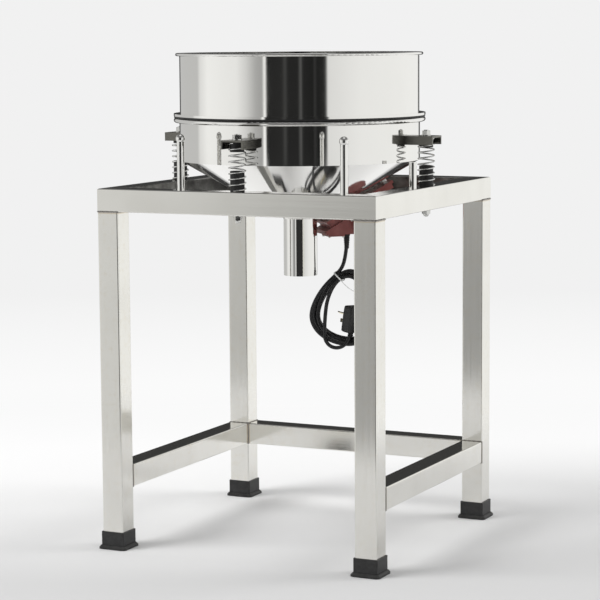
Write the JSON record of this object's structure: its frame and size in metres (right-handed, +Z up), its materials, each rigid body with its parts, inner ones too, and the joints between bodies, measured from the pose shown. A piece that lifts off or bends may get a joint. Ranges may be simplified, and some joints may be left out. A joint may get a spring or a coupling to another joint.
{
  "type": "vibrating sieve",
  "caption": "Round sieve drum and bowl on coil springs over a square stand, shaken by an unbalanced motor under the outlet cone.",
  "frame": {"origin": "centre of the stand's footprint on the floor", "axes": "+Z up along the sieve's axis, +X to the right along the front, +Y to the back; the stand is open at the front, towards -Y"},
  "size_m": [0.5134, 0.5134, 0.823],
  "materials": {
    "tube_steel": "satin polished square tube",
    "polished_steel": "mirror polished sheet",
    "satin_steel": "satin",
    "spring_steel": "bright wire",
    "zinc_steel": "bright zinc",
    "machined_steel": "machined",
    "laminated_steel": "laminated",
    "woven_wire": "woven mesh",
    "boot_rubber": "satin moulded",
    "black_rubber": "matt",
    "cord_rubber": "satin sheath",
    "red_paint": "satin enamel",
    "tie_plastic": "pale twist tie",
    "plug_plastic": "moulded",
    "pin_brass": "bright"
  },
  "bodies": {
    "stand": {"leg_front_left": "tube_steel", "leg_front_right": "tube_steel", "leg_back_left": "tube_steel", "leg_back_right": "tube_steel", "boot_front_left": "boot_rubber", "boot_front_right": "boot_rubber", "boot_back_left": "boot_rubber", "boot_back_right": "boot_rubber", "top_rail_front": "tube_steel", "top_rail_right": "tube_steel", "top_rail_back": "tube_steel", "top_rail_left": "tube_steel", "lower_rail_right": "tube_steel", "lower_rail_back": "tube_steel", "lower_rail_left": "tube_steel", "stop_posts": "polished_steel", "spring_front": "spring_steel", "spring_right": "spring_steel", "spring_back": "spring_steel", "spring_left": "spring_steel", "spring_cores": "black_rubber", "core_bolts": "zinc_steel", "cap_nuts_and_washers": "zinc_steel"},
    "sieve_bowl": {"bowl": "polished_steel", "cone": "polished_steel", "outlet_pipe": "polished_steel", "ear_front": "satin_steel", "ear_right": "satin_steel", "ear_back": "satin_steel", "ear_left": "satin_steel", "spring_seats": "black_rubber", "ear_bolts": "zinc_steel", "ear_nuts_and_washers": "zinc_steel", "mount_plate": "red_paint", "mount_webs": "satin_steel", "motor_bolts": "zinc_steel", "motor_nuts": "zinc_steel", "motor_housing": "red_paint", "end_shields": "red_paint", "stator": "laminated_steel", "bearings": "machined_steel", "weight_cover_near": "red_paint", "weight_cover_far": "red_paint", "shield_screws": "zinc_steel", "terminal_box": "red_paint", "terminal_cover": "red_paint", "cover_screws": "zinc_steel", "cord_grommet": "black_rubber", "cord": "cord_rubber", "cord_hank": "cord_rubber", "cord_tie": "tie_plastic", "plug": "plug_plastic", "plug_pins": "pin_brass"},
    "sieve_deck": {"drum": "polished_steel", "gasket": "black_rubber", "screen_ring": "polished_steel", "screen_mesh": "woven_wire"},
    "rotor": {"motor_shaft": "machined_steel", "rotor_core": "laminated_steel", "eccentric_weights": "machined_steel"}
  },
  "joints": [
    {"name": "bowl_bounce", "type": "slide", "parent": "stand", "child": "sieve_bowl", "axis": [0, 0, 1], "range_m": [-0.004, 0.004], "stiffness_N_per_m": 9000, "springref_m": 0.01063, "deforming": ["spring_front", "spring_right", "spring_back", "spring_left"]},
    {"name": "deck_lift", "type": "slide", "parent": "sieve_bowl", "child": "sieve_deck", "axis": [0, 0, 1], "range_m": [0, 0.2]},
    {"name": "rotor_spin", "type": "hinge", "parent": "sieve_bowl", "child": "rotor", "pos_m": [0.07541, 0.07541, 0.53938], "axis": [-0.7071, 0.7071, 0], "continuous": true}
  ]
}
